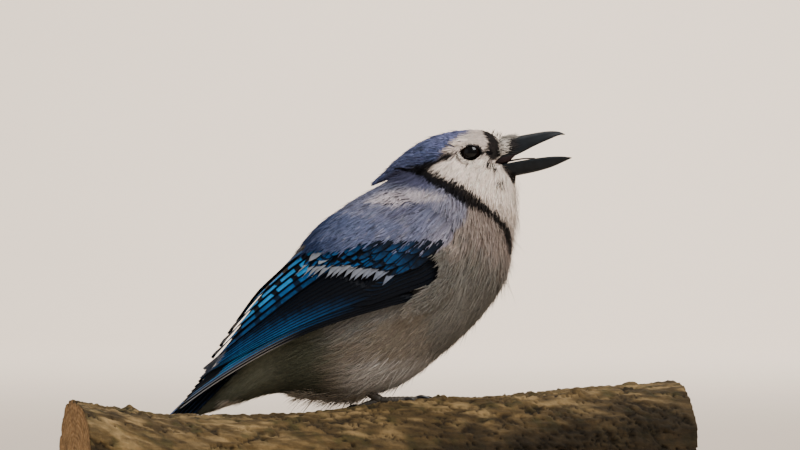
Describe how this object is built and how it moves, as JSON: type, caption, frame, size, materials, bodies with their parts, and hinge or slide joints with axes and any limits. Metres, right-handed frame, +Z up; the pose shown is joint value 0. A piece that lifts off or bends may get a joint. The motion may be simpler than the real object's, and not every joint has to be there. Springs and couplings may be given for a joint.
{
  "type": "blue jay model",
  "caption": "Life-size still model of a crested songbird with its bill open, gripping a short cut branch held by two rods on a flat display base.",
  "frame": {"origin": "centre of the display base's underside", "axes": "+X the way the bird faces, +Y its left side, +Z up; the bird's own middle plane is Y 0"},
  "size_m": [0.2702, 0.1356, 0.1872],
  "materials": {
    "plumage_blue": "soft feather barbs, lavender blue with a black necklace",
    "plumage_pale": "soft feather barbs, warm grey below and grey blue above",
    "flight_feathers": "smooth vanes, bright blue with black bars and white tips",
    "horn": "satin dark horn",
    "mouth": "moist, dark",
    "eye": "wet, nearly black",
    "leg_scales": "scaled dark skin",
    "bark": "rough, cracked bark",
    "base_wood": "dark stained wood, satin lacquer",
    "steel": "brushed"
  },
  "bodies": {
    "root": {"head": "plumage_blue", "neck": "plumage_pale", "torso": "plumage_pale", "wing_left": "flight_feathers", "wing_right": "flight_feathers", "tail": "flight_feathers", "bill_upper": "horn", "bill_lower": "horn", "tongue": "mouth", "eye_left": "eye", "eye_right": "eye", "leg_left": "leg_scales", "leg_right": "leg_scales", "perch_branch": "bark", "stand_base": "base_wood", "stand_rod_front": "steel", "stand_rod_rear": "steel"}
  },
  "joints": []
}
